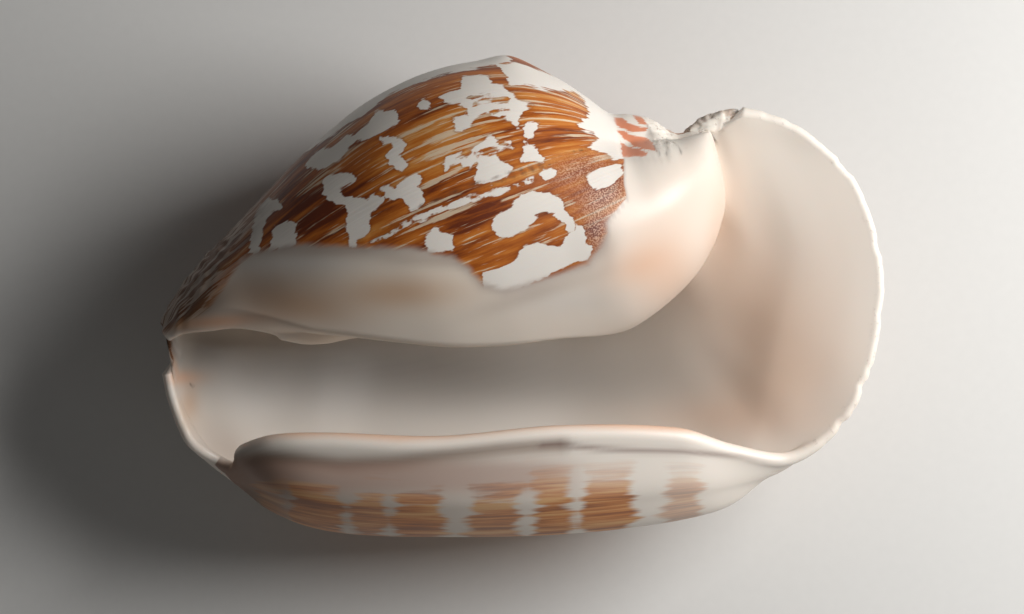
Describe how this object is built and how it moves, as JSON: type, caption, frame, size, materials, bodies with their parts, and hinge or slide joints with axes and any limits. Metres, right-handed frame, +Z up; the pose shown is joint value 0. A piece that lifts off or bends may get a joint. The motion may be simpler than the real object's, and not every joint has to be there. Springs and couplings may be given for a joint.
{
  "type": "conch shell",
  "caption": "Wide-mouthed sea snail shell with a broad flared and inrolled lip, a low spire and a long narrow opening, lying on its back.",
  "frame": {"origin": "centre of the bounding box's underside, at the worn flat spot that the shell lies on", "axes": "+X along the shell from the canal towards the spire, +Y across it away from the outer lip, +Z up out of the mouth"},
  "size_m": [0.1748, 0.1152, 0.0787],
  "materials": {
    "shell": "glossy enamel inside and on the lip, satin brown-streaked white outside"
  },
  "bodies": {
    "root": {"shell": "shell"}
  },
  "joints": []
}
